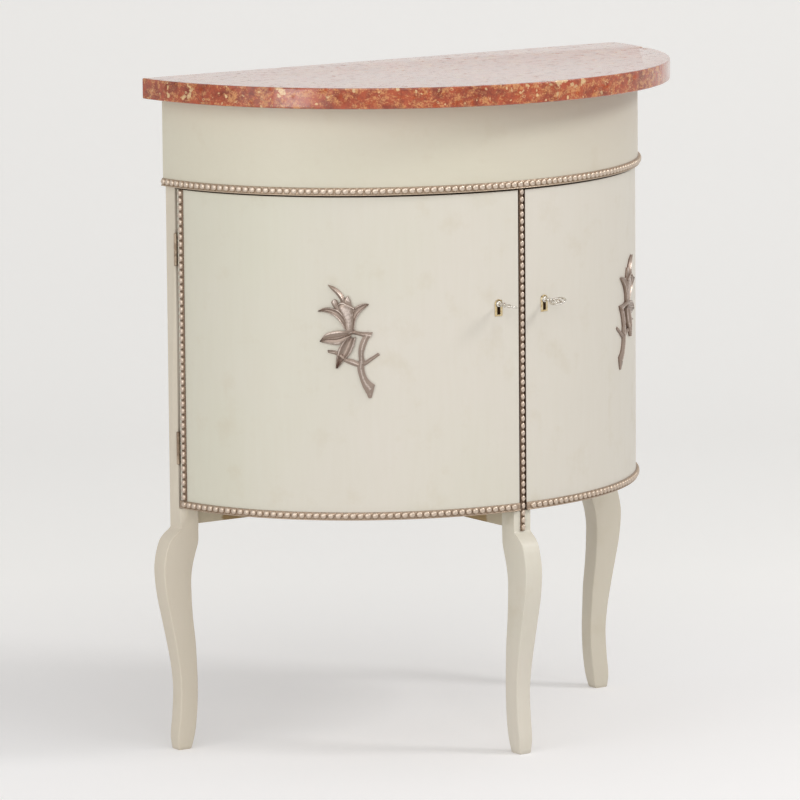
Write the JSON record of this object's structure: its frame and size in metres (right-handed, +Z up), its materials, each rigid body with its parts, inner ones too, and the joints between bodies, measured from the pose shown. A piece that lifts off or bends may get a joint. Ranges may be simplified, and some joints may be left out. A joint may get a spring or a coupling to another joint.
{
  "type": "demilune cabinet",
  "caption": "Half-round two-door cabinet on three cabriole legs, with a marble top, bead mouldings, carved flower sprigs, locks and keys.",
  "frame": {"origin": "on the floor, in the middle of the marble top's width and depth", "axes": "+X towards the right-hand door as seen from the front, +Y towards the straight back, +Z up"},
  "size_m": [0.71, 0.344, 0.83],
  "materials": {
    "marble": "polished red marble with orange and cream spots",
    "painted_wood": "satin grey-green cream paint",
    "silvered_wood": "taupe-silver metallic paint",
    "bare_wood": "bare, unpolished",
    "painted_hinge": "taupe-silver metallic paint",
    "brass": "worn, pale",
    "iron": "dull",
    "steel": "polished"
  },
  "bodies": {
    "carcass": {"marble_top": "marble", "carcass_top": "bare_wood", "frieze": "painted_wood", "upper_bead_moulding": "silvered_wood", "left_rear_leg": "painted_wood", "right_rear_leg": "painted_wood", "front_leg": "painted_wood", "centre_bead_strip": "silvered_wood", "bottom_board": "bare_wood", "shelf": "bare_wood", "shelf_back_cleat": "bare_wood", "shelf_front_cleat": "bare_wood", "back_panel": "bare_wood", "back_rail": "bare_wood", "centre_rail": "bare_wood", "left_upper_hinge_post_leaf": "painted_hinge", "left_upper_hinge_pin": "painted_hinge", "left_upper_hinge_post_lower_screw": "iron", "left_upper_hinge_post_upper_screw": "iron", "left_lower_hinge_post_leaf": "painted_hinge", "left_lower_hinge_pin": "painted_hinge", "left_lower_hinge_post_lower_screw": "iron", "left_lower_hinge_post_upper_screw": "iron", "right_upper_hinge_post_leaf": "painted_hinge", "right_upper_hinge_pin": "painted_hinge", "right_upper_hinge_post_lower_screw": "iron", "right_upper_hinge_post_upper_screw": "iron", "right_lower_hinge_post_leaf": "painted_hinge", "right_lower_hinge_pin": "painted_hinge", "right_lower_hinge_post_lower_screw": "iron", "right_lower_hinge_post_upper_screw": "iron"},
    "left_door_leaf": {"left_door": "painted_wood", "left_door_bottom_beads": "silvered_wood", "left_door_side_beads": "silvered_wood", "left_flower_carving": "silvered_wood", "left_escutcheon": "brass", "left_lock_case": "iron", "left_upper_hinge_door_leaf": "painted_hinge", "left_upper_hinge_door_lower_screw": "iron", "left_upper_hinge_door_upper_screw": "iron", "left_lower_hinge_door_leaf": "painted_hinge", "left_lower_hinge_door_lower_screw": "iron", "left_lower_hinge_door_upper_screw": "iron"},
    "right_door_leaf": {"right_door": "painted_wood", "right_door_bottom_beads": "silvered_wood", "right_door_side_beads": "silvered_wood", "right_flower_carving": "silvered_wood", "right_escutcheon": "brass", "right_lock_case": "iron", "right_upper_hinge_door_leaf": "painted_hinge", "right_upper_hinge_door_lower_screw": "iron", "right_upper_hinge_door_upper_screw": "iron", "right_lower_hinge_door_leaf": "painted_hinge", "right_lower_hinge_door_lower_screw": "iron", "right_lower_hinge_door_upper_screw": "iron"},
    "left_turning_key": {"left_key": "steel"},
    "right_turning_key": {"right_key": "steel"},
    "left_sliding_bolt": {"left_lock_bolt": "steel"},
    "right_sliding_bolt": {"right_lock_bolt": "steel"}
  },
  "joints": [
    {"name": "left_door_hinge", "type": "hinge", "parent": "carcass", "child": "left_door_leaf", "pos_m": [-0.3238, 0.1505, 0.5], "axis": [0, 0, -1], "range_deg": [0, 110]},
    {"name": "right_door_hinge", "type": "hinge", "parent": "carcass", "child": "right_door_leaf", "pos_m": [0.3238, 0.1505, 0.5], "axis": [0, 0, 1], "range_deg": [0, 110]},
    {"name": "left_key_turn", "type": "hinge", "parent": "left_door_leaf", "child": "left_turning_key", "pos_m": [-0.034, -0.11758, 0.5585], "axis": [0.095, 0.9955, 0], "range_deg": [-104, 256]},
    {"name": "right_key_turn", "type": "hinge", "parent": "right_door_leaf", "child": "right_turning_key", "pos_m": [0.034, -0.11758, 0.5585], "axis": [0.095, -0.9955, 0], "range_deg": [-112, 248]},
    {"name": "left_bolt_slide", "type": "slide", "parent": "left_door_leaf", "child": "left_sliding_bolt", "axis": [0.9955, -0.095, 0], "range_m": [-0.00254, 0.00626]},
    {"name": "right_bolt_slide", "type": "slide", "parent": "right_door_leaf", "child": "right_sliding_bolt", "axis": [-0.9955, -0.095, 0], "range_m": [-0.00274, 0.00606]}
  ],
  "couplings": [
    {"joint": "left_bolt_slide", "follows": "left_key_turn", "m_per_rad": 0.0014006},
    {"joint": "right_bolt_slide", "follows": "right_key_turn", "m_per_rad": 0.0014006}
  ]
}
